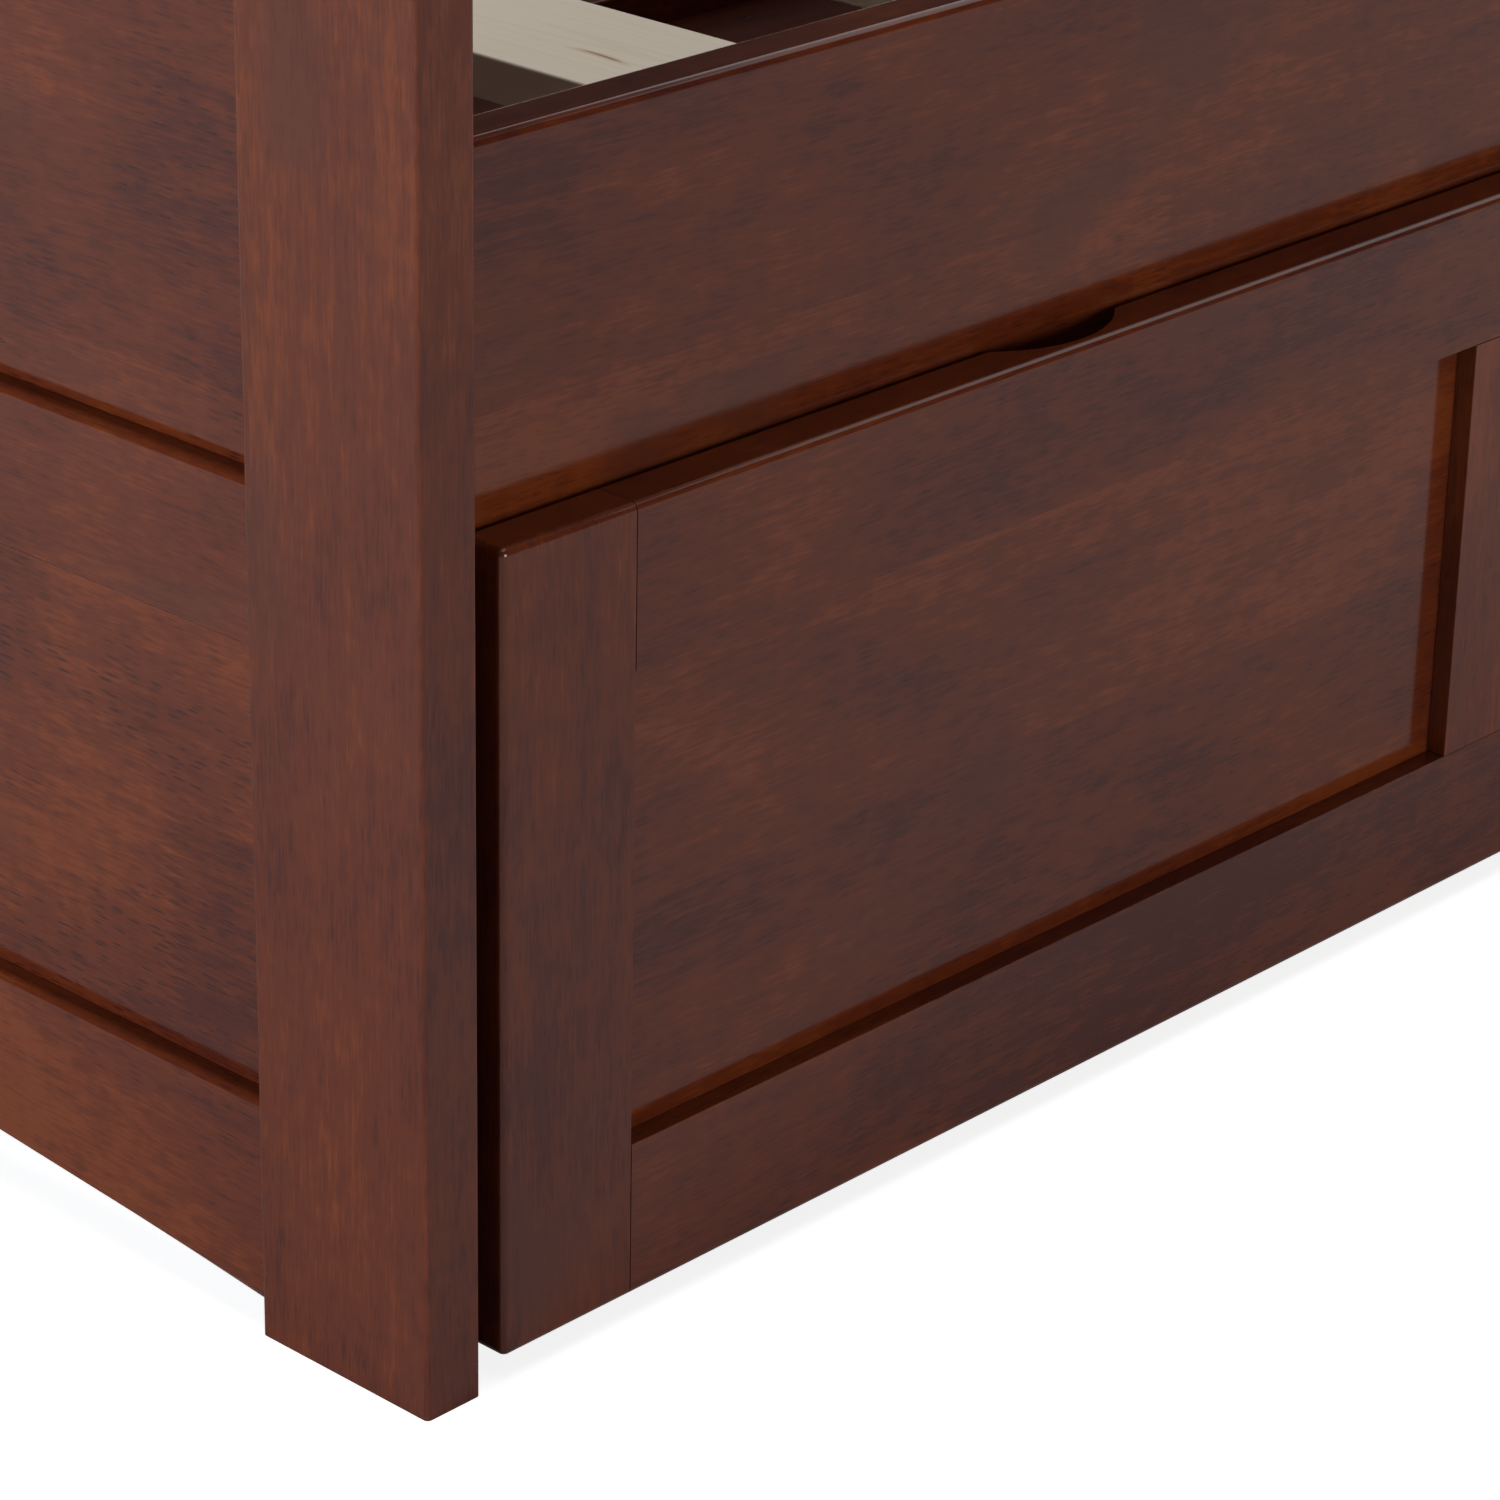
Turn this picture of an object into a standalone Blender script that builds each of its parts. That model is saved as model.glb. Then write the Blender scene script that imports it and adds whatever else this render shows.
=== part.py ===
"""Twin bed with a roll-out trundle: two panelled ends, side rails, slats, and a trundle on four casters.

X runs along the bed towards the headboard, Y across it towards the back, and Z up from the floor.
The origin is on the floor, under the middle of the bed. The trundle rolls out towards -Y.
"""

import math

import bmesh
import bpy
from mathutils import Matrix, Vector

X, Y, Z = 0, 1, 2

GAP = 0.0003  # clearance between two pieces that touch
EDGE_ROUND = 0.0023  # rounding of the boards' outer edges
HANDLED_ROUND = 0.0035  # rounding of the trundle front's outer edges
ARRIS = 0.0003  # the slight rounding of edges that meet another board or a panel
ROUND_SEGMENTS = 3
TONGUE = 0.006  # how far a panel reaches into its frame's grooves
PANEL_THICK = 0.009
PANEL_RECESS = 0.0101  # panel face behind the face of its frame, in the trundle front

# Corner posts and the bed's overall size
POST_THICK = 0.0284  # along the bed
POST_DEEP = 0.0949  # across the bed
POST_ROUND = 0.002
FOOTBOARD_HEIGHT = 0.720
HEADBOARD_HEIGHT = 1.060
INNER_WIDTH = 1.000  # between the side rails, for a 0.99 m mattress

# Trundle front: a frame with three panels between four stiles
FRONT_INSET = 0.0407  # from the bed's end to the front's end
FRONT_THICK = 0.0235
FRONT_BOTTOM = 0.0108
FRONT_TOP = 0.349
FRONT_RAIL_HEIGHT = 0.0680
STILE_WIDTH = 0.0703
PANEL_OPENING = 0.5405
FRONT_PANELS = 3
NOTCH_CHORD = 0.0854  # width of a finger notch at the back of the top edge
NOTCH_LIP = 0.005  # wood left in front of it
NOTCH_DEPTH = 0.045
NOTCH_CENTRE = 0.3753  # from the bed's end

# Side rails, their ledgers and the slats
RAIL_SETBACK = 0.025  # behind the posts' outer faces
RAIL_THICK = 0.0243
RAIL_TOP = 0.4964
RAIL_BOTTOM = 0.330
RAIL_ROUND = 0.004
LEDGER_WIDTH = 0.025
LEDGER_HEIGHT = 0.035
SLAT_TOP = 0.4595
SLAT_THICK = 0.0195
SLAT_WIDTH = 0.0875
SLAT_PITCH = 0.2158
SLATS = 8
FIRST_SLAT = 0.1906  # from the footboard to the first slat
SLAT_END_PLAY = 0.004
SLAT_ROUND = 0.0012

# Rails of the two end boards
END_RAIL_SETBACK = 0.0021
END_RAIL_THICK = 0.024
END_RAIL_ROUND = 0.004  # upper edges
END_PANEL_RECESS = 0.0096
END_TOP_RAIL_HEIGHT = 0.070
MID_RAIL_BOTTOM = 0.2936
MID_RAIL_TOP = 0.3616
LOW_RAIL_BOTTOM = 0.0128
LOW_RAIL_TOP = 0.1026
ARCH_RISE = 0.0235
ARCH_STEPS = 24

# Trundle box behind the front
BOX_INSET = 0.0045  # from the front's end to the box's end
BOX_RAIL_THICK = 0.022
BOX_INNER_DEPTH = 1.000
BACK_RAIL_BOTTOM = 0.040
BACK_RAIL_TOP = 0.146
DECK_TOP = 0.120
DECK_THICK = 0.012
BEARER_BOTTOM = 0.0573  # undersides of the ledgers and rails that carry the deck
BEARER_WIDTH = 0.055

# Casters
WHEEL_RADIUS = 0.025
WHEEL_WIDTH = 0.018
WHEEL_STEPS = 32
TREAD_ROUND = 0.004
HUB_RADIUS = 0.0085
HUB_WIDTH = 0.0225
AXLE_RADIUS = 0.003
AXLE_HEAD_RADIUS = 0.0055
AXLE_HEAD = 0.0018
PLATE_LENGTH = 0.062
PLATE_WIDTH = 0.042
SHEET = 0.0025
FORK_INNER = 0.0245
CHEEK_TOP_HALF = 0.016
CHEEK_TIP_RADIUS = 0.009
CASTER_INSET = 0.110  # from the box's end to the caster's middle
CASTER_SETBACK = 0.031  # from a ledger's outer side to the caster's middle

FRONT_LENGTH = FRONT_PANELS * PANEL_OPENING + (FRONT_PANELS + 1) * STILE_WIDTH
LENGTH = FRONT_LENGTH + 2 * FRONT_INSET
WIDTH = INNER_WIDTH + 2 * (RAIL_SETBACK + RAIL_THICK)
LEFT, RIGHT = -LENGTH / 2, LENGTH / 2
FRONT, BACK = -WIDTH / 2, WIDTH / 2

# Colour, roughness and metallic value of each kind of material
STAINED = ((0.10, 0.035, 0.022), 0.35, 0.0)
PINE = ((0.55, 0.43, 0.30), 0.6, 0.0)
PLYWOOD = ((0.09, 0.031, 0.020), 0.5, 0.0)
STEEL = ((0.55, 0.56, 0.58), 0.35, 1.0)
TYRE = ((0.03, 0.03, 0.032), 0.5, 0.0)


def material(name, finish):
    colour, roughness, metallic = finish
    made = bpy.data.materials.new(name)
    made.use_nodes = True
    shader = made.node_tree.nodes["Principled BSDF"]
    shader.inputs["Base Color"].default_value = (*colour, 1.0)
    shader.inputs["Roughness"].default_value = roughness
    shader.inputs["Metallic"].default_value = metallic
    made.diffuse_color = (*colour, 1.0)
    return made


def body(name, place):
    """An empty that carries the pieces which move together."""
    empty = bpy.data.objects.new(name, None)
    empty.location = place
    bpy.context.collection.objects.link(empty)
    return empty


def piece(name, shape, place, finish, parent):
    """Turns a bmesh, drawn around its own origin, into a named object at a place in the world."""
    bmesh.ops.recalc_face_normals(shape, faces=shape.faces[:])
    mesh = bpy.data.meshes.new(name)
    shape.to_mesh(mesh)
    shape.free()
    made = bpy.data.objects.new(name, mesh)
    bpy.context.collection.objects.link(made)
    if finish:
        mesh.materials.append(material(name, finish))
    made.location = Vector(place) - (parent.location if parent else Vector())
    made.parent = parent
    return made


def round_shading(made, angle=math.radians(35)):
    made.data.shade_smooth()
    made.data.set_sharp_from_angle(angle=angle)


def as_cutter(made):
    made.hide_render = True
    made.display_type = "WIRE"
    return made


def cut(target, cutter):
    boolean = target.modifiers.new(cutter.name, "BOOLEAN")
    boolean.operation = "DIFFERENCE"
    boolean.solver = "EXACT"
    boolean.object = cutter


def join(target, other):
    """Unites a second solid with the target and keeps it out of the build as an object."""
    boolean = target.modifiers.new(other.name, "BOOLEAN")
    boolean.operation = "UNION"
    boolean.solver = "EXACT"
    boolean.object = as_cutter(other)


def box_shape(size):
    shape = bmesh.new()
    bmesh.ops.create_cube(shape, size=1.0, matrix=Matrix.Diagonal((*size, 1.0)))
    return shape


def edge_run(edge):
    """The axis that an edge of a box runs along, and the middle of the edge."""
    start, end = (corner.co for corner in edge.verts)
    span = [abs(value) for value in end - start]
    return span.index(max(span)), (start + end) / 2


def round_edges(shape, chosen, radius):
    edges = [edge for edge in shape.edges if chosen(*edge_run(edge))]
    bmesh.ops.bevel(
        shape,
        geom=edges,
        offset=radius,
        offset_type="OFFSET",
        segments=ROUND_SEGMENTS,
        profile=0.5,
        affect="EDGES",
    )


def along(axis):
    return lambda run, middle: run == axis


def towards(axis, across, sign):
    """The edges along one axis that lie on one side of the board."""
    return lambda run, middle: run == axis and middle[across] * sign > 0


def upright_and_top(run, middle):
    return run == Z or middle.z > 0


def board(name, low, high, finish, parent, *roundings):
    """A rectangular board between two corners. A rounding is a choice of edges and a radius."""
    low, high = Vector(low), Vector(high)
    shape = box_shape(high - low)
    for chosen, radius in roundings:
        round_edges(shape, chosen, radius)
    return piece(name, shape, (low + high) / 2, finish, parent)


def let_in(name, low, high, thin_axis, frame_pieces, parent):
    """A panel whose edges stand in grooves cut into the frame pieces around an opening."""
    low, high = Vector(low), Vector(high)
    tongue = Vector((TONGUE, TONGUE, TONGUE))
    tongue[thin_axis] = 0.0
    room = Vector((GAP, GAP, GAP))
    low, high = low - tongue, high + tongue
    groove = as_cutter(board(name + "_groove", low - room, high + room, None, parent))
    for frame_piece in frame_pieces:
        cut(frame_piece, groove)
    return board(name, low, high, STAINED, parent)


def extruded(outline, axis, thickness):
    """A flat outline, given as points in a plane across the axis, made into a solid."""
    shape = bmesh.new()
    face = shape.faces.new([shape.verts.new(point) for point in outline])
    push = Vector((0.0, 0.0, 0.0))
    push[axis] = thickness
    grown = bmesh.ops.extrude_face_region(shape, geom=[face])
    moved = [item for item in grown["geom"] if isinstance(item, bmesh.types.BMVert)]
    bmesh.ops.translate(shape, verts=moved, vec=push)
    return shape


def arched_rail(name, x_low, parent):
    """The low rail of an end board, straight on top and gently arched underneath."""
    half = WIDTH / 2 - POST_DEEP - GAP
    radius = (half**2 + ARCH_RISE**2) / (2 * ARCH_RISE)
    centre = LOW_RAIL_BOTTOM + ARCH_RISE - radius
    outline = [(0.0, -half, LOW_RAIL_TOP), (0.0, half, LOW_RAIL_TOP)]
    for step in range(ARCH_STEPS + 1):
        across = half - 2 * half * step / ARCH_STEPS
        outline.append((0.0, across, centre + math.sqrt(radius**2 - across**2)))
    shape = extruded(outline, X, END_RAIL_THICK)
    round_edges(shape, along(Y), END_RAIL_ROUND)
    return piece(name, shape, (x_low, 0.0, 0.0), STAINED, parent)


def end_board(name, outer, inward, height, parent):
    """Posts, three rails and two panels. The inward sign is +1 at the foot end and -1 at the head end."""

    def span(start, thickness):
        return sorted((outer + inward * start, outer + inward * (start + thickness)))

    post_x = span(0.0, POST_THICK)
    rail_x = span(END_RAIL_SETBACK, END_RAIL_THICK)
    panel_x = span(END_RAIL_SETBACK + END_PANEL_RECESS, PANEL_THICK)
    posts = []
    for side, y_low in (("front", FRONT), ("back", BACK - POST_DEEP)):
        low = (post_x[0], y_low, 0.0)
        high = (post_x[1], y_low + POST_DEEP, height)
        post = board(
            f"{name}_post_{side}", low, high, STAINED, parent, (upright_and_top, POST_ROUND)
        )
        posts.append(post)
    half = WIDTH / 2 - POST_DEEP

    def rail(part, bottom, top):
        low = (rail_x[0], -half + GAP, bottom)
        high = (rail_x[1], half - GAP, top)
        upper = (towards(Y, Z, 1), END_RAIL_ROUND)
        lower = (towards(Y, Z, -1), EDGE_ROUND)
        return board(f"{name}_{part}", low, high, STAINED, parent, upper, lower)

    top_rail_bottom = height - END_TOP_RAIL_HEIGHT
    top_rail = rail("top_rail", top_rail_bottom, height - POST_ROUND)
    mid_rail = rail("mid_rail", MID_RAIL_BOTTOM, MID_RAIL_TOP)
    low_rail = arched_rail(f"{name}_bottom_rail", rail_x[0], parent)
    for part, bottom, top, rails in (
        ("upper_panel", MID_RAIL_TOP, top_rail_bottom, (mid_rail, top_rail)),
        ("lower_panel", LOW_RAIL_TOP, MID_RAIL_BOTTOM, (low_rail, mid_rail)),
    ):
        low = (panel_x[0], -half, bottom)
        high = (panel_x[1], half, top)
        let_in(f"{name}_{part}", low, high, X, (*rails, *posts), parent)


def side_rails(parent):
    """The two long rails between the end boards, each with a ledger for the slats."""
    reach = LENGTH / 2 - POST_THICK - GAP
    ledger_top = SLAT_TOP - SLAT_THICK - GAP
    inner = INNER_WIDTH / 2
    for name, side in (("front", -1), ("back", 1)):
        near, far = sorted((side * inner, side * (inner + RAIL_THICK)))
        low, high = (-reach, near, RAIL_BOTTOM), (reach, far, RAIL_TOP)
        board(f"side_rail_{name}", low, high, STAINED, parent, (along(X), RAIL_ROUND))
        near, far = sorted((side * (inner - GAP), side * (inner - LEDGER_WIDTH)))
        low, high = (-reach, near, ledger_top - LEDGER_HEIGHT), (reach, far, ledger_top)
        board(f"slat_ledger_{name}", low, high, PINE, parent, (along(X), EDGE_ROUND))


def slats(parent):
    first = LEFT + POST_THICK + FIRST_SLAT
    reach = INNER_WIDTH / 2 - SLAT_END_PLAY
    for number in range(SLATS):
        start = first + number * SLAT_PITCH
        low = (start, -reach, SLAT_TOP - SLAT_THICK)
        high = (start + SLAT_WIDTH, reach, SLAT_TOP)
        board(f"slat_{number + 1:02d}", low, high, PINE, parent, (along(Y), SLAT_ROUND))


def finger_notch(name, x_middle, parent):
    """The upright round cutter of a notch that is scooped into the back of the front's top edge."""
    depth = FRONT_THICK - NOTCH_LIP
    radius = NOTCH_CHORD**2 / (8 * depth) + depth / 2
    tall = NOTCH_DEPTH * 2
    shape = bmesh.new()
    bmesh.ops.create_cone(
        shape, cap_ends=True, segments=96, radius1=radius, radius2=radius, depth=tall
    )
    place = (x_middle, FRONT + NOTCH_LIP + radius, FRONT_TOP - NOTCH_DEPTH + tall / 2)
    return as_cutter(piece(name, shape, place, None, parent))


def outer_stile_roundings(outward):
    """The free edges of an outer stile are rounded, and the side that meets the rails is eased."""

    def free(run, middle):
        return run == X or middle.x * outward > 0

    return (free, HANDLED_ROUND), (towards(Z, X, -outward), ARRIS)


def trundle_front(parent):
    """The panelled front: rails run between the outer stiles, and mid stiles between the rails."""
    back = FRONT + FRONT_THICK
    start = -FRONT_LENGTH / 2
    rail_reach = FRONT_LENGTH / 2 - STILE_WIDTH - GAP
    lower = FRONT_BOTTOM + FRONT_RAIL_HEIGHT
    upper = FRONT_TOP - FRONT_RAIL_HEIGHT

    def rail(part, bottom, top, free_side):
        low, high = (-rail_reach, FRONT, bottom), (rail_reach, back, top)
        free = (towards(X, Z, free_side), HANDLED_ROUND)
        eased = (towards(X, Z, -free_side), ARRIS)
        return board(f"trundle_front_{part}", low, high, STAINED, parent, free, eased)

    bottom_rail = rail("bottom_rail", FRONT_BOTTOM, lower, -1)
    top_rail = rail("top_rail", upper, FRONT_TOP, 1)
    for number, side in enumerate((-1, 1), 1):
        notch = finger_notch(f"finger_notch_{number}", side * (LENGTH / 2 - NOTCH_CENTRE), parent)
        cut(top_rail, notch)

    stiles = []
    for number in range(FRONT_PANELS + 1):
        left = start + number * (STILE_WIDTH + PANEL_OPENING)
        outer = number in (0, FRONT_PANELS)
        bottom = FRONT_BOTTOM if outer else lower + GAP
        top = FRONT_TOP if outer else upper - GAP
        roundings = outer_stile_roundings(1 if number else -1) if outer else ((along(Z), ARRIS),)
        low, high = (left, FRONT, bottom), (left + STILE_WIDTH, back, top)
        name = f"trundle_front_stile_{number + 1}"
        stiles.append(board(name, low, high, STAINED, parent, *roundings))

    for number in range(FRONT_PANELS):
        left = start + STILE_WIDTH + number * (STILE_WIDTH + PANEL_OPENING)
        low = (left, FRONT + PANEL_RECESS, lower)
        high = (left + PANEL_OPENING, FRONT + PANEL_RECESS + PANEL_THICK, upper)
        frame_pieces = (bottom_rail, top_rail, stiles[number], stiles[number + 1])
        let_in(f"trundle_front_panel_{number + 1}", low, high, Y, frame_pieces, parent)


def trundle_box(parent):
    """Rails and ledgers behind the front, under a deck in two halves."""
    reach = FRONT_LENGTH / 2 - BOX_INSET
    inside = FRONT + FRONT_THICK + GAP
    end = inside + BOX_INNER_DEPTH
    top = DECK_TOP - DECK_THICK - GAP
    ledger_reach = reach - BOX_RAIL_THICK - GAP

    for name, side in (("left", -1), ("right", 1)):
        near, far = sorted((side * reach, side * (reach - BOX_RAIL_THICK)))
        low, high = (near, inside, BEARER_BOTTOM), (far, end - GAP, top)
        board(f"trundle_end_rail_{name}", low, high, PINE, parent, (along(Y), EDGE_ROUND))
        near, far = sorted((side * GAP, side * reach))
        low, high = (near, inside + GAP, DECK_TOP - DECK_THICK), (far, end - GAP, DECK_TOP)
        board(f"trundle_deck_{name}", low, high, PLYWOOD, parent)

    low, high = (-reach, end, BACK_RAIL_BOTTOM), (reach, end + BOX_RAIL_THICK, BACK_RAIL_TOP)
    board("trundle_back_rail", low, high, STAINED, parent, (along(X), EDGE_ROUND))

    for name, y_low in (("front", inside), ("back", end - GAP - BEARER_WIDTH)):
        low, high = (-ledger_reach, y_low, BEARER_BOTTOM), (ledger_reach, y_low + BEARER_WIDTH, top)
        board(f"trundle_ledger_{name}", low, high, PINE, parent, (along(X), EDGE_ROUND))

    low = (-BEARER_WIDTH / 2, inside + BEARER_WIDTH + GAP, BEARER_BOTTOM)
    high = (BEARER_WIDTH / 2, end - BEARER_WIDTH - 2 * GAP, top)
    board("trundle_cross_member", low, high, PINE, parent, (along(Y), EDGE_ROUND))


def rod_shape(radius, length):
    """A round bar along X."""
    shape = bmesh.new()
    bmesh.ops.create_cone(
        shape,
        cap_ends=True,
        segments=24,
        radius1=radius,
        radius2=radius,
        depth=length,
        matrix=Matrix.Rotation(math.pi / 2, 4, "Y"),
    )
    return shape


def turned(profile, steps):
    """A closed profile of (x, radius) points, turned around the X axis with one point straight down."""
    shape = bmesh.new()
    rings = []
    for step in range(steps):
        angle = 2 * math.pi * step / steps - math.pi / 2
        ring = [
            shape.verts.new((x, radius * math.cos(angle), radius * math.sin(angle)))
            for x, radius in profile
        ]
        rings.append(ring)
    for step, ring in enumerate(rings):
        following = rings[(step + 1) % steps]
        for index in range(len(profile)):
            other = (index + 1) % len(profile)
            shape.faces.new((ring[index], ring[other], following[other], following[index]))
    return shape


def wheel_profile():
    half, hub = WHEEL_WIDTH / 2, HUB_WIDTH / 2
    bore = AXLE_RADIUS + GAP
    profile = [(-hub, bore), (-hub, HUB_RADIUS), (-half, HUB_RADIUS + 0.001)]
    for side in (-1, 1):
        turns = (0, 1, 2) if side < 0 else (2, 1, 0)
        for turn in turns:
            angle = turn * math.pi / 4
            x = side * (half - TREAD_ROUND * (1 - math.cos(angle)))
            profile.append((x, WHEEL_RADIUS - TREAD_ROUND * (1 - math.sin(angle))))
    return profile + [(half, HUB_RADIUS + 0.001), (hub, HUB_RADIUS), (hub, bore)]


def cheek_outline(top):
    """One side of the fork: wide under the plate, round about the axle."""
    outline = [(0.0, CHEEK_TOP_HALF, top), (0.0, -CHEEK_TOP_HALF, top)]
    for step in range(9):
        angle = math.pi * (1 + step / 8)
        across = CHEEK_TIP_RADIUS * math.cos(angle)
        outline.append((0.0, across, CHEEK_TIP_RADIUS * math.sin(angle)))
    return outline


def caster(name, x, y, parent):
    """A rigid caster: a plate with two cheeks, a riveted axle and a wheel with its origin on the axle."""
    axle_height = WHEEL_RADIUS
    plate_top = BEARER_BOTTOM - GAP
    middle = Vector((x, y, axle_height))
    cheek_top = plate_top - axle_height - SHEET / 2

    plate_shape = box_shape((PLATE_LENGTH, PLATE_WIDTH, SHEET))
    plate_place = (x, y, plate_top - SHEET / 2)
    bracket = piece(f"{name}_bracket", plate_shape, plate_place, STEEL, parent)
    for side in (-1, 1):
        shape = extruded(cheek_outline(cheek_top), X, SHEET)
        offset = side * (FORK_INNER + SHEET) / 2 - SHEET / 2
        cheek = piece(f"{name}_cheek_{side}", shape, middle + Vector((offset, 0, 0)), None, parent)
        join(bracket, cheek)
    hole_shape = rod_shape(AXLE_RADIUS + GAP, FORK_INNER + 6 * SHEET)
    cut(bracket, as_cutter(piece(f"{name}_hole", hole_shape, middle, None, parent)))

    shank = FORK_INNER + 2 * SHEET + 2 * GAP
    axle = [(-shank / 2 - AXLE_HEAD, 0.0015), (-shank / 2 - AXLE_HEAD, AXLE_HEAD_RADIUS * 0.8)]
    axle += [(-shank / 2 - AXLE_HEAD / 2, AXLE_HEAD_RADIUS), (-shank / 2, AXLE_HEAD_RADIUS)]
    axle += [(-shank / 2, AXLE_RADIUS)]
    axle += [(-along_x, radius) for along_x, radius in reversed(axle)]
    pin = piece(f"{name}_axle", turned(axle, 24), middle, STEEL, parent)
    round_shading(pin)

    wheel_body = body(f"{name}_roll", middle)
    wheel_body.location = middle - parent.location
    wheel_body.parent = parent
    wheel = piece(f"{name}_wheel", turned(wheel_profile(), WHEEL_STEPS), (0, 0, 0), TYRE, None)
    wheel.parent = wheel_body
    round_shading(wheel)


def casters(parent):
    x = FRONT_LENGTH / 2 - BOX_INSET - CASTER_INSET
    inside = FRONT + FRONT_THICK + GAP
    front_y = inside + CASTER_SETBACK
    back_y = inside + BOX_INNER_DEPTH - CASTER_SETBACK
    for along_name, x_place in (("left", -x), ("right", x)):
        for across_name, y_place in (("front", front_y), ("back", back_y)):
            caster(f"caster_{across_name}_{along_name}", x_place, y_place, parent)


def main():
    for old in list(bpy.data.objects):
        bpy.data.objects.remove(old, do_unlink=True)
    bed = body("bed_frame", (0.0, 0.0, 0.0))
    trundle = body("trundle", (0.0, FRONT, 0.0))
    end_board("footboard", LEFT, 1, FOOTBOARD_HEIGHT, bed)
    end_board("headboard", RIGHT, -1, HEADBOARD_HEIGHT, bed)
    side_rails(bed)
    slats(bed)
    trundle_front(trundle)
    trundle_box(trundle)
    casters(trundle)
    bpy.context.view_layer.update()


main()
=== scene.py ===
"""The looks of the trundle bed: stained hardwood, pine slats, stained deck, casters, light and camera."""

import math
import random

import bmesh
import bpy
from mathutils import Euler, Matrix, Vector


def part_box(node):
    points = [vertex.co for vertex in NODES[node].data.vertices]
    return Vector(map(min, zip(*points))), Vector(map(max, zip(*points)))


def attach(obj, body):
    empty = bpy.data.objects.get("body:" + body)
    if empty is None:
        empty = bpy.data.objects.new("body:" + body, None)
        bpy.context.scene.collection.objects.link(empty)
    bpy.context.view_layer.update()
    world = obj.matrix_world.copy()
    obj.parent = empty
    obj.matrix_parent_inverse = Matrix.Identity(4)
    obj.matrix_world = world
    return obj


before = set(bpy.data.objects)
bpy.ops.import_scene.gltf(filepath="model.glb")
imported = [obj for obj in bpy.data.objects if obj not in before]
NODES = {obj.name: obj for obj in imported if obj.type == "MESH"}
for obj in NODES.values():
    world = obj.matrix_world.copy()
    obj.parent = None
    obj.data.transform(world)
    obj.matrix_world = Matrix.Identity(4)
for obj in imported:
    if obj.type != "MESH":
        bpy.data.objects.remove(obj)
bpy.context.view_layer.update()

X, Y, Z = 0, 1, 2

# Colours are linear, as the shader takes them
STAIN_DARK = (0.052, 0.0092, 0.0052)
STAIN_MID = (0.086, 0.0160, 0.0050)
STAIN_LIGHT = (0.130, 0.0270, 0.0065)
STAIN_PORE = (0.030, 0.0070, 0.0045)
STAIN_COOL = (0.050, 0.0125, 0.0085)
# Colour for rubbed edges; it also serves as a painted highlight along the arrises
STAIN_WORN_HIGHLIGHT = (0.190, 0.0520, 0.0150)
PINE_BODY = (0.78, 0.67, 0.53)
PINE_PALE = (0.84, 0.75, 0.62)
PINE_RING = (0.50, 0.36, 0.22)
PINE_HALO = (0.58, 0.36, 0.22)
PINE_KNOT = (0.20, 0.075, 0.03)
PLY_BODY = (0.058, 0.0120, 0.0060)
PLY_RING = (0.026, 0.0065, 0.0040)
PLY_PALE = (0.085, 0.0190, 0.0085)
PLY_CORE = (0.045, 0.0150, 0.0080)
STEEL = (0.60, 0.61, 0.62)
STEEL_DULL = (0.46, 0.47, 0.49)
BLACKED = (0.050, 0.040, 0.036)
BLACKED_DULL = (0.034, 0.028, 0.026)
NYLON = (0.030, 0.030, 0.032)
SCUFF = (0.16, 0.155, 0.145)


# ---------------------------------------------------------------- node trees


class Tree:
    """A material's node tree. Each method adds a node and returns the output that it is wanted for."""

    def __init__(self, material):
        material.use_nodes = True
        self.tree = material.node_tree
        self.shader = self.tree.nodes["Principled BSDF"]

    def feed(self, socket, value):
        if isinstance(value, bpy.types.NodeSocket):
            self.tree.links.new(value, socket)
        elif socket.type == "RGBA" and len(value) == 3:
            socket.default_value = (*value, 1.0)
        else:
            socket.default_value = value

    def node(self, kind, inputs=None, **settings):
        made = self.tree.nodes.new("ShaderNode" + kind)
        for key, value in settings.items():
            setattr(made, key, value)
        for key, value in (inputs or {}).items():
            self.feed(made.inputs[key], value)
        return made

    def math(self, operation, a, b=0.0, c=0.0, clamp=False):
        inputs = {0: a, 1: b, 2: c}
        return self.node("Math", inputs, operation=operation, use_clamp=clamp).outputs[0]

    def add(self, a, b):
        return self.math("ADD", a, b)

    def mul(self, a, b):
        return self.math("MULTIPLY", a, b)

    def vector(self, operation, a, b=(0.0, 0.0, 0.0)):
        return self.node("VectorMath", {0: a, 1: b}, operation=operation).outputs[0]

    def split(self, vector):
        return self.node("SeparateXYZ", {0: vector}).outputs

    def join(self, x, y, z):
        return self.node("CombineXYZ", {0: x, 1: y, 2: z}).outputs[0]

    def noise(self, vector, scale=1.0, detail=2.0, roughness=0.5):
        inputs = {"Vector": vector, "Scale": scale, "Detail": detail, "Roughness": roughness}
        return self.node("TexNoise", inputs).outputs["Fac"]

    def cells(self, vector):
        """Distance to the nearest cell centre, and a random number for each cell."""
        made = self.node("TexVoronoi", {"Vector": vector, "Scale": 1.0}, feature="F1")
        return made.outputs["Distance"], self.split(made.outputs["Color"])[0]

    def random(self, vector):
        return self.node("TexWhiteNoise", {"Vector": vector}, noise_dimensions="3D").outputs["Value"]

    def smooth(self, value, low, high, to_low=0.0, to_high=1.0):
        inputs = {"Value": value, "From Min": low, "From Max": high}
        inputs.update({"To Min": to_low, "To Max": to_high})
        return self.node("MapRange", inputs, interpolation_type="SMOOTHSTEP").outputs[0]

    def mix(self, factor, a, b):
        made = self.node("Mix", data_type="RGBA")
        self.feed(made.inputs[0], factor)
        self.feed(made.inputs[6], a)
        self.feed(made.inputs[7], b)
        return made.outputs[2]

    def place(self):
        """The point on the object at rest, in the frame's metres."""
        return self.node("TexCoord").outputs["Object"]

    def bump(self, height, strength, distance):
        inputs = {"Height": height, "Strength": strength, "Distance": distance}
        self.feed(self.shader.inputs["Normal"], self.node("Bump", inputs).outputs[0])


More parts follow.
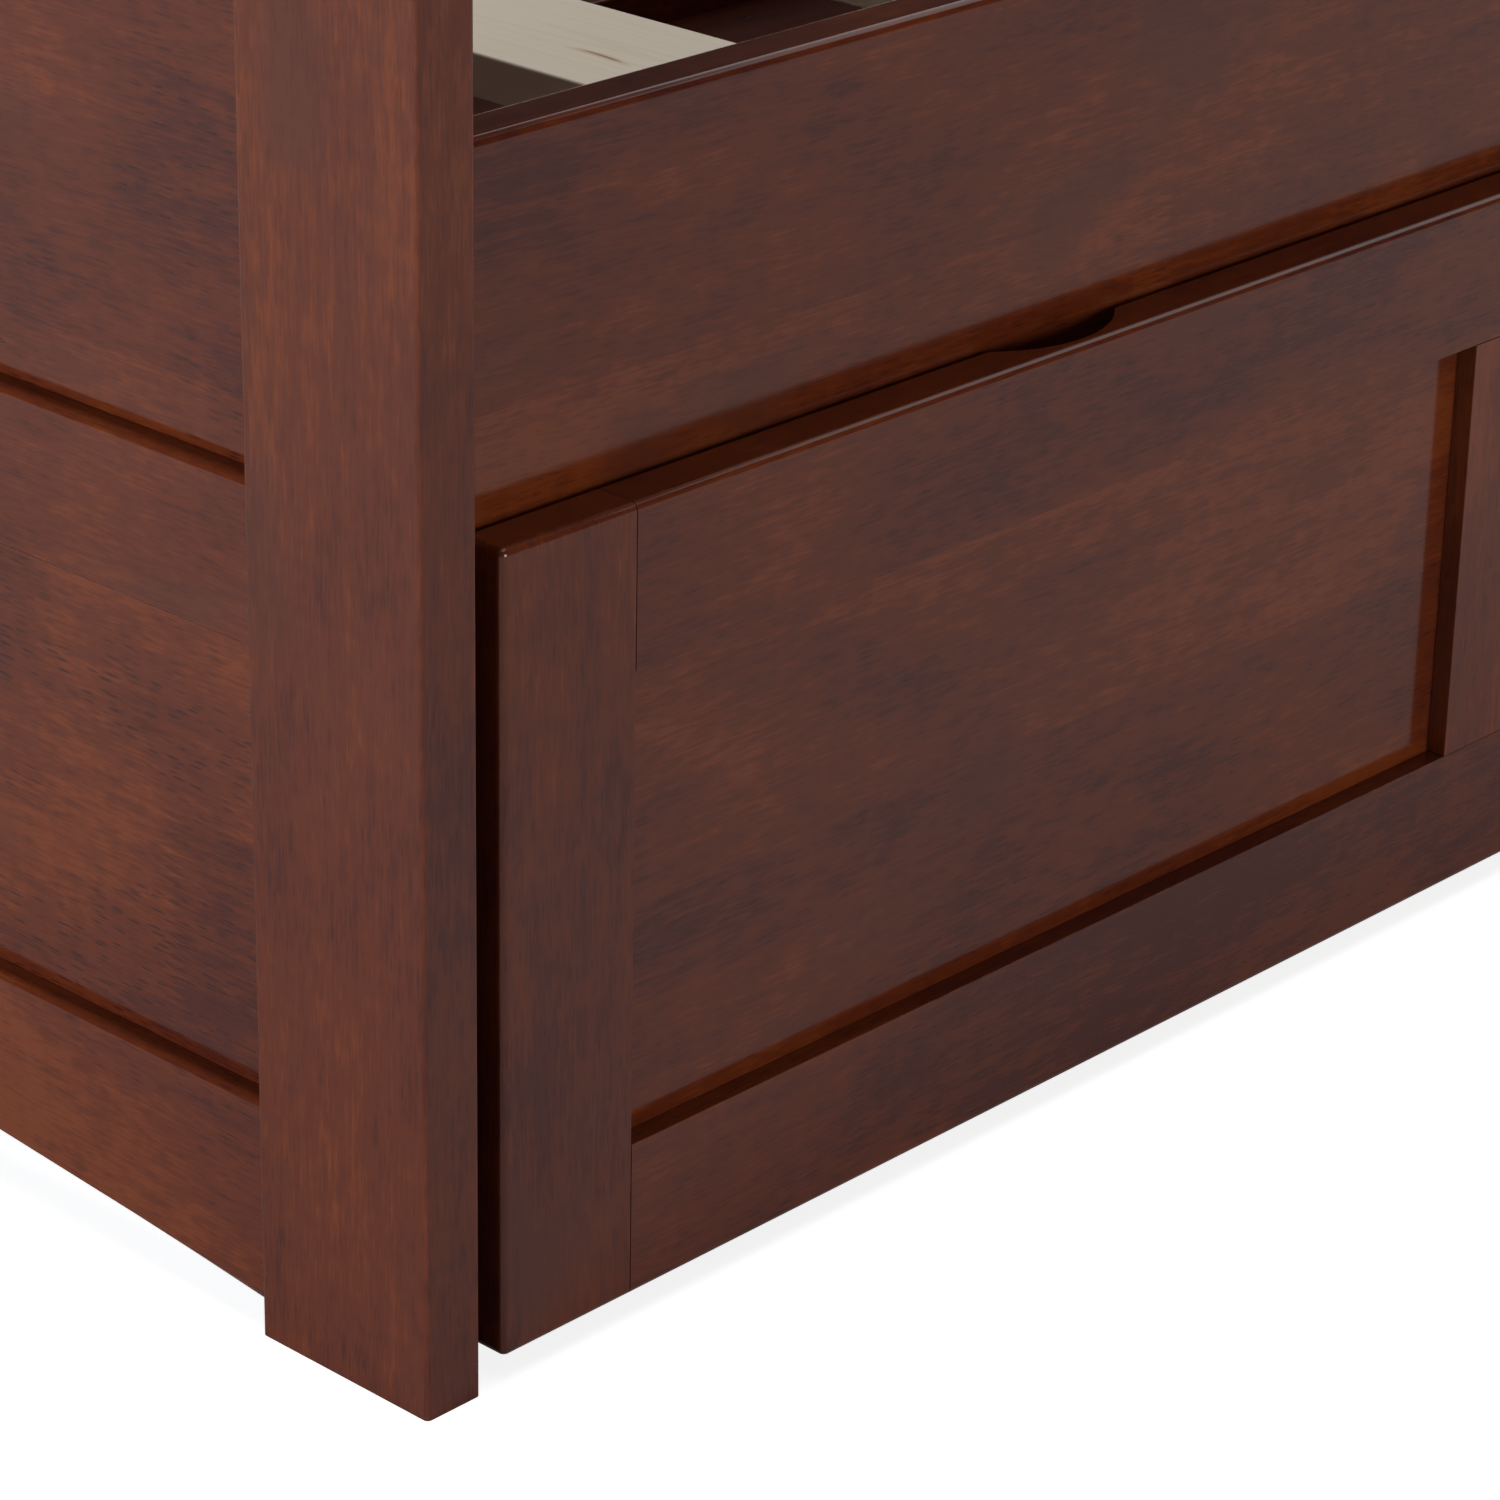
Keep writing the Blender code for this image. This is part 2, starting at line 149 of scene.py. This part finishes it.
def grain_space(tree, axis, seed):
    """Coordinates along the grain and two across it, moved to a patch of wood of the board's own."""
    shift = random.Random(seed)
    offset = tuple(shift.uniform(-9.0, 9.0) for _ in range(3))
    parts = tree.split(tree.vector("ADD", tree.place(), offset))
    order = {X: (0, 1, 2), Y: (1, 0, 2), Z: (2, 0, 1)}[axis]
    return tuple(parts[index] for index in order)


def wander(tree, along, b, c, amount, pace=2.2):
    """The two coordinates across the grain, bent so that fibres run in gentle waves."""
    slow = tree.join(tree.mul(along, pace), tree.mul(b, 8.0), tree.mul(c, 8.0))
    sway = tree.mul(tree.add(tree.noise(slow, detail=1.0), -0.5), amount)
    return tree.add(b, sway), tree.add(c, sway)


def stretched(tree, along, b, c, lengthwise, crosswise):
    return tree.join(tree.mul(along, lengthwise), tree.mul(b, crosswise), tree.mul(c, crosswise))


def dashes(tree, point, core, fade, share):
    """Short dark marks: one inside some of the long cells, 1 on the mark and 0 off it."""
    distance, chance = tree.cells(point)
    mark = tree.smooth(distance, core, fade, 1.0, 0.0)
    return tree.mul(mark, tree.math("LESS_THAN", chance, share))


def edge_depths(tree, node):
    """How far a point lies inside its board's box, along each axis."""
    low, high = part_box(node)
    middle, half = (low + high) / 2, (high - low) / 2
    offset = tree.vector("ABSOLUTE", tree.vector("SUBTRACT", tree.place(), tuple(middle)))
    return tree.split(tree.vector("SUBTRACT", tuple(half), offset))


def arris_distance(tree, node, axis):
    """How far a point on a board's face is from the nearest edge that runs along the grain."""
    depths = edge_depths(tree, node)
    first, second = (depths[index] for index in (X, Y, Z) if index != axis)
    return tree.math("MAXIMUM", first, second)


FINGER_PITCH = 0.0048
FINGER_REACH = 0.0140


def finger_joints(tree, along, b, c, block, seed):
    """Lengths of wood joined end to end by short fingers: a tone for each length, and the glue line."""
    pitch, reach = FINGER_PITCH, FINGER_REACH
    fingers = tree.math("PINGPONG", tree.add(b, c), pitch / 2)
    zigzag = tree.mul(fingers, 2 * reach / pitch)
    position = tree.math("DIVIDE", tree.add(along, zigzag), block)
    number = tree.math("FLOOR", position)
    inside = tree.math("SUBTRACT", position, number)
    rest = tree.math("MINIMUM", inside, tree.math("SUBTRACT", 1.0, inside))
    line = tree.smooth(tree.mul(rest, block), 0.0003, 0.0012, 1.0, 0.0)
    tone = tree.random(tree.join(number, float(seed), 0.5))
    return tone, line


# ---------------------------------------------------------------- materials


def stained_wood(node, axis, seed, staves=0.0, block=0.0, pores=0.45):
    """Reddish brown stain under smooth lacquer. Staves are glued side by side across the grain."""
    material = bpy.data.materials.new("stained_" + node)
    tree = Tree(material)
    along, b, c = grain_space(tree, axis, seed)
    b2, c2 = wander(tree, along, b, c, 0.012)

    tone, joint = glued_lengths(tree, along, b, c, staves, block, seed)
    fibre = tree.noise(stretched(tree, along, b2, c2, 52.0, 800.0), detail=3.0, roughness=0.65)
    streak = tree.noise(stretched(tree, along, b2, c2, 9.0, 190.0), detail=3.0, roughness=0.6)
    cloud = tree.noise(stretched(tree, along, b, c, 3.6, 7.5), detail=2.0, roughness=0.45)
    blotch = tree.noise(stretched(tree, along, b, c, 13.0, 26.0), detail=2.0, roughness=0.5)
    mottle = tree.noise(stretched(tree, along, b, c, 70.0, 150.0), detail=2.0)
    for value, weight in (
        (fibre, 1.35), (streak, 0.70), (cloud, 1.80), (blotch, 1.00), (mottle, 0.75)
    ):
        tone = tree.add(tone, tree.mul(tree.add(value, -0.5), weight))
    tone = tree.add(tone, 0.5)

    crowd = tree.smooth(tree.add(tree.mul(cloud, 0.6), tree.mul(blotch, 0.6)), 0.68, 0.50)
    long_pores = dashes(tree, stretched(tree, along, b2, c2, 78.0, 520.0), 0.16, 0.46, 0.62)
    long_pores = tree.mul(long_pores, tree.add(0.22, tree.mul(crowd, 0.78)))
    fine_pores = dashes(tree, stretched(tree, along, b2, c2, 110.0, 1250.0), 0.14, 0.50, 0.55)

    colour = tree.mix(tree.smooth(tone, 0.5, 1.05), STAIN_MID, STAIN_LIGHT)
    colour = tree.mix(tree.smooth(tone, 0.5, -0.05), colour, STAIN_DARK)
    cool = tree.smooth(tree.noise(stretched(tree, along, b, c, 6.5, 13.0), detail=3.0), 0.56, 0.72)
    colour = tree.mix(tree.mul(cool, 0.60), colour, STAIN_COOL)
    colour = tree.mix(tree.mul(long_pores, pores), colour, STAIN_PORE)
    colour = tree.mix(tree.mul(fine_pores, 0.34), colour, STAIN_PORE)
    if joint:
        colour = tree.mix(tree.mul(joint, 0.12), colour, STAIN_PORE)
    # Lighter patchy line along the edges that run with the grain: partly rubbed finish, partly a painted
    # highlight where the arrises catch the light
    patchy = tree.smooth(tree.noise(tree.place(), scale=95.0, detail=3.0), 0.42, 0.68)
    wear_and_highlight = tree.mul(tree.smooth(arris_distance(tree, node, axis), 0.0, 0.0018, 1.0, 0.0), patchy)
    colour = tree.mix(tree.mul(wear_and_highlight, 0.16), colour, STAIN_WORN_HIGHLIGHT)

    gloss = tree.add(0.095, tree.mul(blotch, 0.06))
    gloss = tree.add(gloss, tree.mul(wear_and_highlight, 0.08))
    tree.feed(tree.shader.inputs["Base Color"], colour)
    tree.feed(tree.shader.inputs["Roughness"], gloss)
    tree.shader.inputs["IOR"].default_value = 1.45
    tree.bump(tree.add(tree.mul(fibre, 0.5), tree.mul(mottle, 0.5)), 0.06, 0.0001)
    return material


def glued_lengths(tree, along, b, c, staves, block, seed):
    """Tone of the staves and lengths that a board is glued up from, and the lines where lengths meet."""
    tone, joint = 0.0, None
    shifted = along
    if staves:
        lane = tree.math("FLOOR", tree.math("DIVIDE", c, staves))
        tone = tree.mul(tree.add(tree.random(tree.join(lane, 1.5, 2.5)), -0.5), 0.22)
        shifted = tree.add(along, tree.mul(tree.random(tree.join(lane, 4.5, 0.5)), 3.0))
    if block:
        block_tone, joint = finger_joints(tree, shifted, b, c, block, seed)
        tone = tree.add(tone, tree.mul(tree.add(block_tone, -0.5), 0.42))
    return tone, joint


def knot_marks(tree, knots):
    """Thin curved streaks where small knots were cut: 1 on them and 0 off them."""
    marks = 0.0
    for (x, y), (long_half, wide_half), lean in knots:
        parts = tree.split(tree.vector("SUBTRACT", tree.place(), (x, y, 0.0)))
        away = tree.math("DIVIDE", parts[Y], long_half)
        bend = tree.mul(tree.mul(away, away), wide_half * 0.8)
        side = tree.add(tree.add(parts[X], tree.mul(parts[Y], lean)), bend)
        side = tree.math("DIVIDE", side, wide_half)
        distance = tree.add(tree.mul(away, away), tree.mul(side, side))
        marks = tree.math("MAXIMUM", marks, tree.smooth(distance, 0.25, 1.0, 1.0, 0.0))
    return marks


def pine(node, axis, seed, knots=()):
    """Sanded pine: pale, with faint yearly rings, and rare knots."""
    material = bpy.data.materials.new("pine_" + node)
    tree = Tree(material)
    along, b, c = grain_space(tree, axis, seed)
    b2, c2 = wander(tree, along, b, c, 0.016, pace=1.4)
    fibre = tree.noise(stretched(tree, along, b2, c2, 14.0, 700.0), detail=2.0)
    soft = tree.noise(stretched(tree, along, b, c, 5.0, 16.0), detail=3.0)
    drift = tree.noise(stretched(tree, along, b2, c2, 0.9, 30.0), detail=2.0)
    phase = tree.add(tree.mul(tree.add(b2, tree.mul(c2, 0.6)), 430.0), tree.mul(drift, 60.0))
    rings = tree.smooth(tree.math("SINE", phase), 0.35, 1.0)
    strength = tree.smooth(tree.noise(stretched(tree, along, b, c, 1.0, 26.0)), 0.40, 0.75)
    rings = tree.mul(rings, tree.add(0.06, tree.mul(strength, 0.20)))
    colour = tree.mix(soft, PINE_BODY, PINE_PALE)
    colour = tree.mix(rings, colour, PINE_RING)
    colour = tree.mix(tree.mul(fibre, 0.16), colour, PINE_RING)
    if knots:
        halo = knot_marks(tree, [(at, (size[0] * 1.5, size[1] * 3.0), lean) for at, size, lean in knots])
        colour = tree.mix(tree.mul(halo, 0.45), colour, PINE_HALO)
        marks = tree.mul(knot_marks(tree, knots), tree.smooth(fibre, 0.30, 0.50))
        colour = tree.mix(tree.mul(marks, 0.85), colour, PINE_KNOT)
    edge = tree.smooth(arris_distance(tree, node, axis), 0.0, 0.0016, 1.0, 0.0)
    colour = tree.mix(tree.mul(edge, 0.30), colour, PINE_PALE)
    tree.feed(tree.shader.inputs["Base Color"], colour)
    tree.feed(tree.shader.inputs["Roughness"], tree.add(0.52, tree.mul(fibre, 0.16)))
    tree.bump(tree.add(fibre, tree.mul(rings, 0.6)), 0.18, 0.0002)
    return material


def plywood(node, seed):
    """A stained deck board: a rotary-cut face with cathedral figure, and plies on its edges."""
    material = bpy.data.materials.new("plywood_" + node)
    tree = Tree(material)
    along, b, c = grain_space(tree, X, seed)
    low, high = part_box(node)
    slow = tree.noise(stretched(tree, along, b, c, 0.9, 4.2), detail=2.0)
    phase = tree.add(tree.mul(slow, 150.0), tree.mul(b, 40.0))
    figure = tree.smooth(tree.math("SINE", phase), 0.1, 1.0)
    fibre = tree.noise(stretched(tree, along, b, c, 18.0, 620.0), detail=2.0)
    cloud = tree.noise(tree.place(), scale=3.0, detail=3.0)
    face = tree.mix(tree.mul(figure, 0.45), PLY_BODY, PLY_RING)
    face = tree.mix(tree.mul(fibre, 0.22), face, PLY_RING)
    face = tree.mix(tree.mul(cloud, 0.45), face, PLY_PALE)
    plies = 5
    height = tree.split(tree.place())[Z]
    layer = tree.math("DIVIDE", tree.math("SUBTRACT", height, low.z), (high.z - low.z) / plies)
    odd = tree.math("MODULO", tree.math("FLOOR", layer), 2.0)
    edge = tree.mix(odd, PLY_BODY, PLY_CORE)
    facing = tree.math("ABSOLUTE", tree.split(tree.node("NewGeometry").outputs["True Normal"])[Z])
    colour = tree.mix(tree.math("GREATER_THAN", facing, 0.5), edge, face)
    tree.feed(tree.shader.inputs["Base Color"], colour)
    tree.feed(tree.shader.inputs["Roughness"], tree.add(0.62, tree.mul(fibre, 0.18)))
    tree.shader.inputs["Specular IOR Level"].default_value = 0.05
    tree.bump(tree.add(fibre, tree.mul(figure, 0.3)), 0.15, 0.0002)
    return material


def plated_steel(name, clean=STEEL, dull=STEEL_DULL):
    """Steel with a thin plating: a soft cloudy sheen, fine scratches and a few stains."""
    material = bpy.data.materials.new(name)
    tree = Tree(material)
    place = tree.place()
    cloud = tree.noise(place, scale=160.0, detail=3.0)
    x, y, z = tree.split(place)[:3]
    brushed = tree.noise(tree.join(tree.mul(x, 90.0), tree.mul(y, 2600.0), tree.mul(z, 2600.0)))
    stain = tree.smooth(tree.noise(place, scale=420.0, detail=2.0), 0.60, 0.78)
    colour = tree.mix(tree.mul(cloud, 0.5), clean, dull)
    colour = tree.mix(tree.mul(stain, 0.35), colour, tuple(0.55 * part for part in dull))
    rough = tree.add(0.26, tree.add(tree.mul(cloud, 0.14), tree.mul(brushed, 0.10)))
    tree.feed(tree.shader.inputs["Base Color"], colour)
    tree.feed(tree.shader.inputs["Roughness"], rough)
    tree.shader.inputs["Metallic"].default_value = 1.0
    tree.bump(brushed, 0.12, 0.0001)
    return material


def wheel_nylon():
    """Black moulded nylon, scuffed grey where it rolls."""
    material = bpy.data.materials.new("wheel_nylon")
    tree = Tree(material)
    place = tree.place()
    speckle = tree.noise(place, scale=900.0, detail=2.0)
    scuffs = tree.smooth(tree.noise(place, scale=230.0, detail=4.0, roughness=0.7), 0.50, 0.72)
    colour = tree.mix(tree.mul(scuffs, 0.45), NYLON, SCUFF)
    tree.feed(tree.shader.inputs["Base Color"], colour)
    tree.feed(tree.shader.inputs["Roughness"], tree.add(0.36, tree.mul(scuffs, 0.30)))
    tree.bump(tree.add(speckle, scuffs), 0.15, 0.0002)
    return material


# ---------------------------------------------------------------- the CAD pieces' finish


WELD_REACH = 0.00001
FLAT_ANGLE = math.radians(0.5)  # triangles closer than this to one plane become one face
CREASE_ANGLE = math.radians(40)
FACE_AREA_WEIGHT = 100


def smooth_faces():
    """A node group that drops the imported normals and shades all faces smooth, on the evaluated copy."""
    group = bpy.data.node_groups.new("smooth_faces", "GeometryNodeTree")
    for direction in ("INPUT", "OUTPUT"):
        group.interface.new_socket("Geometry", in_out=direction, socket_type="NodeSocketGeometry")
    start = group.nodes.new("NodeGroupInput")
    drop = group.nodes.new("GeometryNodeRemoveAttribute")
    drop.inputs["Name"].default_value = "custom_normal"
    shade = group.nodes.new("GeometryNodeSetShadeSmooth")
    end = group.nodes.new("NodeGroupOutput")
    group.links.new(start.outputs[0], drop.inputs["Geometry"])
    group.links.new(drop.outputs["Geometry"], shade.inputs["Geometry"])
    group.links.new(shade.outputs["Geometry"], end.inputs[0])
    return group


SMOOTH_FACES = smooth_faces()


def dress(node, material):
    """Puts the material in the object's slots and smooths rounded edges by modifiers. Its mesh stays."""
    piece = NODES[node]
    for slot in piece.material_slots:
        slot.link = "OBJECT"
        slot.material = material
    smooth = piece.modifiers.new("smooth", "NODES")
    smooth.node_group = SMOOTH_FACES
    weld = piece.modifiers.new("weld", "WELD")
    weld.merge_threshold = WELD_REACH
    flat = piece.modifiers.new("flat", "DECIMATE")
    flat.decimate_type = "DISSOLVE"
    flat.angle_limit = FLAT_ANGLE
    split = piece.modifiers.new("split", "EDGE_SPLIT")
    split.split_angle = CREASE_ANGLE
    normals = piece.modifiers.new("normals", "WEIGHTED_NORMAL")
    normals.weight = FACE_AREA_WEIGHT


def finish_ends():
    for number, end in enumerate(("footboard", "headboard")):
        seed = 100 * number
        dress(f"{end}_post_front", stained_wood(f"{end}_post_front", Z, seed + 1))
        dress(f"{end}_post_back", stained_wood(f"{end}_post_back", Z, seed + 2))
        for step, rail in enumerate(("top_rail", "mid_rail", "bottom_rail")):
            node = f"{end}_{rail}"
            dress(node, stained_wood(node, Y, seed + 10 + step, block=0.43))
        for step, panel in enumerate(("upper_panel", "lower_panel")):
            node = f"{end}_{panel}"
            dress(node, stained_wood(node, Y, seed + 20 + step, staves=0.085, block=0.37, pores=0.78))


def finish_bed():
    for number, side in enumerate(("front", "back")):
        rail, ledger = f"side_rail_{side}", f"slat_ledger_{side}"
        dress(rail, stained_wood(rail, X, 40 + number, staves=0.082, block=0.46))
        dress(ledger, pine(ledger, X, 50 + number))
    for number in range(1, 9):
        node = f"slat_{number:02d}"
        dress(node, pine(node, Y, 300 + number, slat_knots(node, number)))


def slat_knots(node, number):
    """One to three small knots on each slat; the first slat has one near its front end."""
    low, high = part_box(node)
    if number == 1:
        middle = (low.x + high.x) / 2
        return [((middle - 0.010, low.y + 0.107), (0.0150, 0.0011), -0.04)]
    place = random.Random(900 + number)
    knots = []
    for _ in range(place.randint(1, 3)):
        x = place.uniform(low.x + 0.012, high.x - 0.012)
        y = place.uniform(low.y + 0.06, high.y - 0.06)
        long_half = place.uniform(0.004, 0.018)
        knots.append(((x, y), (long_half, place.uniform(0.0016, 0.005)), place.uniform(-0.3, 0.3)))
    return knots


def finish_trundle():
    for number in range(1, 5):
        node = f"trundle_front_stile_{number}"
        dress(node, stained_wood(node, Z, 200 + number))
    for number in range(1, 4):
        node = f"trundle_front_panel_{number}"
        dress(node, stained_wood(node, X, 210 + number, staves=0.088, block=0.62))
    for step, rail in enumerate(("top_rail", "bottom_rail")):
        node = f"trundle_front_{rail}"
        dress(node, stained_wood(node, X, 220 + step, block=0.52))
    dress("trundle_back_rail", stained_wood("trundle_back_rail", X, 230, block=0.55))
    for step, (node, axis) in enumerate((
        ("trundle_end_rail_left", Y),
        ("trundle_end_rail_right", Y),
        ("trundle_ledger_front", X),
        ("trundle_ledger_back", X),
        ("trundle_cross_member", Y),
    )):
        dress(node, pine(node, axis, 240 + step))
    for step, side in enumerate(("left", "right")):
        node = f"trundle_deck_{side}"
        dress(node, plywood(node, 250 + step))


def finish_casters():
    steel = plated_steel("caster_zinc")
    nylon = wheel_nylon()
    for across in ("front", "back"):
        for side in ("left", "right"):
            dress(f"caster_{across}_{side}_bracket", steel)
            dress(f"caster_{across}_{side}_axle", steel)
            dress(f"caster_{across}_{side}_wheel", nylon)


# ---------------------------------------------------------------- screws

HEAD_RADIUS = 0.0041
HEAD_RISE = 0.0002
HEAD_DEPTH = 0.0012
CROSS_REACH = 0.0023
CROSS_HALF = 0.00045
CROSS_DEPTH = 0.0009
HEAD_STEPS = 24
LEDGER_SCREWS = 9
PLATE_THICK = 0.0025

# How far the screws stand in from the edges of what they hold
SLAT_SCREW_END = 0.012
SLAT_SCREW_IN = 0.022
LEDGER_SCREW_END = 0.050
DECK_SCREW_END = 0.025
DECK_SCREW_IN = 0.014
PLATE_SCREW_X = 0.007
PLATE_SCREW_Y = 0.008


def screw_head():
    """A countersunk head along +Z with a cross recess, its rim at the height of the surface."""
    shape = bmesh.new()
    steps = HEAD_STEPS

    def ring(radius, height):
        turns = [2 * math.pi * step / steps for step in range(steps)]
        return [
            shape.verts.new((radius * math.cos(turn), radius * math.sin(turn), height))
            for turn in turns
        ]

    def wall(upper, lower):
        count = len(upper)
        for step in range(count):
            after = (step + 1) % count
            shape.faces.new((upper[step], lower[step], lower[after], upper[after]))

    rim = ring(HEAD_RADIUS, 0.0)
    top = ring(HEAD_RADIUS * 0.92, HEAD_RISE)
    foot = ring(HEAD_RADIUS * 0.55, -HEAD_DEPTH)
    wall(top, rim)
    wall(rim, foot)
    shape.faces.new(list(reversed(foot)))
    outline = []
    for quarter in range(4):
        turn = Matrix.Rotation(quarter * math.pi / 2, 2)
        for x, y in ((CROSS_REACH, -CROSS_HALF), (CROSS_REACH, CROSS_HALF), (CROSS_HALF, CROSS_HALF)):
            outline.append(turn @ Vector((x, y)))
    mouth = [shape.verts.new((x, y, HEAD_RISE)) for x, y in outline]
    floor = [shape.verts.new((x, y, HEAD_RISE - CROSS_DEPTH)) for x, y in outline]
    wall(floor, mouth)
    shape.faces.new(floor)
    rings = [(top[i], top[(i + 1) % steps]) for i in range(steps)]
    rings += [(mouth[i], mouth[(i + 1) % len(mouth)]) for i in range(len(mouth))]
    edges = [shape.edges.get(pair) or shape.edges.new(pair) for pair in rings]
    bmesh.ops.triangle_fill(shape, use_beauty=True, edges=edges, normal=(0, 0, 1))
    bmesh.ops.recalc_face_normals(shape, faces=shape.faces[:])
    return shape


def screws(name, places, normal, body, material):
    """One object holding a screw head at each place, facing along the normal."""
    head = screw_head()
    facing = Vector(normal).to_track_quat("Z", "Y").to_matrix().to_4x4()
    spin = random.Random(name)
    merged = bmesh.new()
    for place in places:
        copy = head.copy()
        turned = Matrix.Rotation(spin.uniform(0, math.pi / 2), 4, "Z")
        bmesh.ops.transform(copy, matrix=Matrix.Translation(place) @ facing @ turned, verts=copy.verts)
        part = bpy.data.meshes.new("part")
        copy.to_mesh(part)
        copy.free()
        merged.from_mesh(part)
        bpy.data.meshes.remove(part)
    head.free()
    mesh = bpy.data.meshes.new(name)
    merged.to_mesh(mesh)
    merged.free()
    mesh.materials.append(material)
    piece = bpy.data.objects.new(name, mesh)
    bpy.context.scene.collection.objects.link(piece)
    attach(piece, body)
    return piece


def add_screws():
    steel = plated_steel("screw_zinc")
    blacked = plated_steel("screw_blacked", BLACKED, BLACKED_DULL)
    slat_places = []
    for number in range(1, 9):
        low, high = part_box(f"slat_{number:02d}")
        for x in (low.x + SLAT_SCREW_IN, high.x - SLAT_SCREW_IN):
            for y in (low.y + SLAT_SCREW_END, high.y - SLAT_SCREW_END):
                slat_places.append(Vector((x, y, high.z)))
    screws("slat_screws", slat_places, (0, 0, 1), "bed_frame", steel)

    for side, face, normal in (("front", "high", (0, 1, 0)), ("back", "low", (0, -1, 0))):
        low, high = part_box(f"slat_ledger_{side}")
        y = high.y if face == "high" else low.y
        step = (high.x - low.x - 2 * LEDGER_SCREW_END) / (LEDGER_SCREWS - 1)
        z = (low.z + high.z) / 2
        places = [Vector((low.x + LEDGER_SCREW_END + step * i, y, z)) for i in range(LEDGER_SCREWS)]
        screws(f"ledger_screws_{side}", places, normal, "bed_frame", steel)

    deck_places = []
    for side in ("left", "right"):
        low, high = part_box(f"trundle_deck_{side}")
        inset = DECK_SCREW_IN
        for i in range(5):
            x = low.x + inset + (high.x - low.x - 2 * inset) * i / 4
            for y in (low.y + DECK_SCREW_END, high.y - DECK_SCREW_END):
                deck_places.append(Vector((x, y, high.z)))
        for i in range(1, 4):
            y = low.y + (high.y - low.y) * i / 4
            deck_places += [Vector((low.x + inset, y, high.z)), Vector((high.x - inset, y, high.z))]
    screws("deck_screws", deck_places, (0, 0, 1), "trundle", blacked)

    plate_places = []
    for across in ("front", "back"):
        for side in ("left", "right"):
            low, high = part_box(f"caster_{across}_{side}_bracket")
            underside = high.z - PLATE_THICK
            for x in (low.x + PLATE_SCREW_X, high.x - PLATE_SCREW_X):
                for y in (low.y + PLATE_SCREW_Y, high.y - PLATE_SCREW_Y):
                    plate_places.append(Vector((x, y, underside)))
    screws("caster_screws", plate_places, (0, 0, -1), "trundle", steel)


# ---------------------------------------------------------------- stage, light and camera


def add_floor():
    """A pale floor. What the camera sees of it directly is lifted towards white, as in a studio cut-out."""
    bpy.ops.mesh.primitive_plane_add(size=120.0, location=(0.0, 0.0, 0.0))
    floor = bpy.context.object
    floor.name = "studio_floor"
    material = bpy.data.materials.new("studio_floor")
    tree = Tree(material)
    tree.feed(tree.shader.inputs["Base Color"], (0.72, 0.72, 0.72))
    tree.feed(tree.shader.inputs["Roughness"], 0.9)
    tree.shader.inputs["Specular IOR Level"].default_value = 0.0
    tree.shader.inputs["Emission Color"].default_value = (1.0, 1.0, 1.0, 1.0)
    seen = tree.node("LightPath").outputs["Is Camera Ray"]
    tree.feed(tree.shader.inputs["Emission Strength"], tree.smooth(seen, 0.0, 1.0, 0.0, 0.80))
    floor.data.materials.append(material)


def add_world():
    world = bpy.data.worlds.new("studio")
    bpy.context.scene.world = world
    world.use_nodes = True
    nodes, links = world.node_tree.nodes, world.node_tree.links
    background = nodes["Background"]
    background.inputs["Color"].default_value = (1.0, 1.0, 1.0, 1.0)
    seen = nodes.new("ShaderNodeLightPath").outputs["Is Camera Ray"]
    level = nodes.new("ShaderNodeMapRange")
    level.inputs["To Min"].default_value = 0.04
    level.inputs["To Max"].default_value = 1.0
    links.new(seen, level.inputs["Value"])
    links.new(level.outputs[0], background.inputs["Strength"])


COOL = (0.93, 1.0, 1.08)


def softbox(name, place, target, width, height, power, tint=(1.0, 1.0, 1.0)):
    light = bpy.data.lights.new(name, "AREA")
    light.shape = "RECTANGLE"
    light.size, light.size_y = width, height
    light.energy = power
    light.color = tint
    lamp = bpy.data.objects.new(name, light)
    bpy.context.scene.collection.objects.link(lamp)
    lamp.location = place
    lamp.rotation_mode = "QUATERNION"
    lamp.rotation_quaternion = (Vector(target) - Vector(place)).to_track_quat("-Z", "Y")
    lamp.visible_camera = False


def add_lights():
    softbox("left", (-6.0, 0.3, 0.95), (-0.6, 0.0, 0.3), 2.2, 1.8, 300.0, COOL)
    softbox("front", (-0.5, -6.0, 0.95), (-0.4, -0.4, 0.3), 3.0, 1.8, 168.0)
    softbox("right", (4.6, 0.1, 3.6), (0.0, 0.0, 0.3), 6.0, 3.4, 80.0)
    softbox("back", (1.2, 5.4, 3.6), (0.0, 0.0, 0.3), 3.0, 2.0, 80.0)
    softbox("top", (0.0, 0.0, 4.2), (0.0, 0.0, 0.0), 4.0, 4.0, 64.0)


def add_camera():
    """The main viewpoint, looking 24 degrees downward at the near corner."""
    data = bpy.data.cameras.new("camera")
    data.sensor_width = 36.0
    data.lens = 120.94
    camera = bpy.data.objects.new("camera", data)
    bpy.context.scene.collection.objects.link(camera)
    camera.location = (-2.1386, -1.7708, 1.0195)
    camera.rotation_euler = Euler([math.radians(turn) for turn in (66.2807, -1.0353, -46.8039)])
    bpy.context.scene.camera = camera


def main():
    finish_ends()
    finish_bed()
    finish_trundle()
    finish_casters()
    add_screws()
    add_floor()
    add_world()
    add_lights()
    add_camera()
    bpy.context.scene.view_settings.view_transform = "Standard"


main()
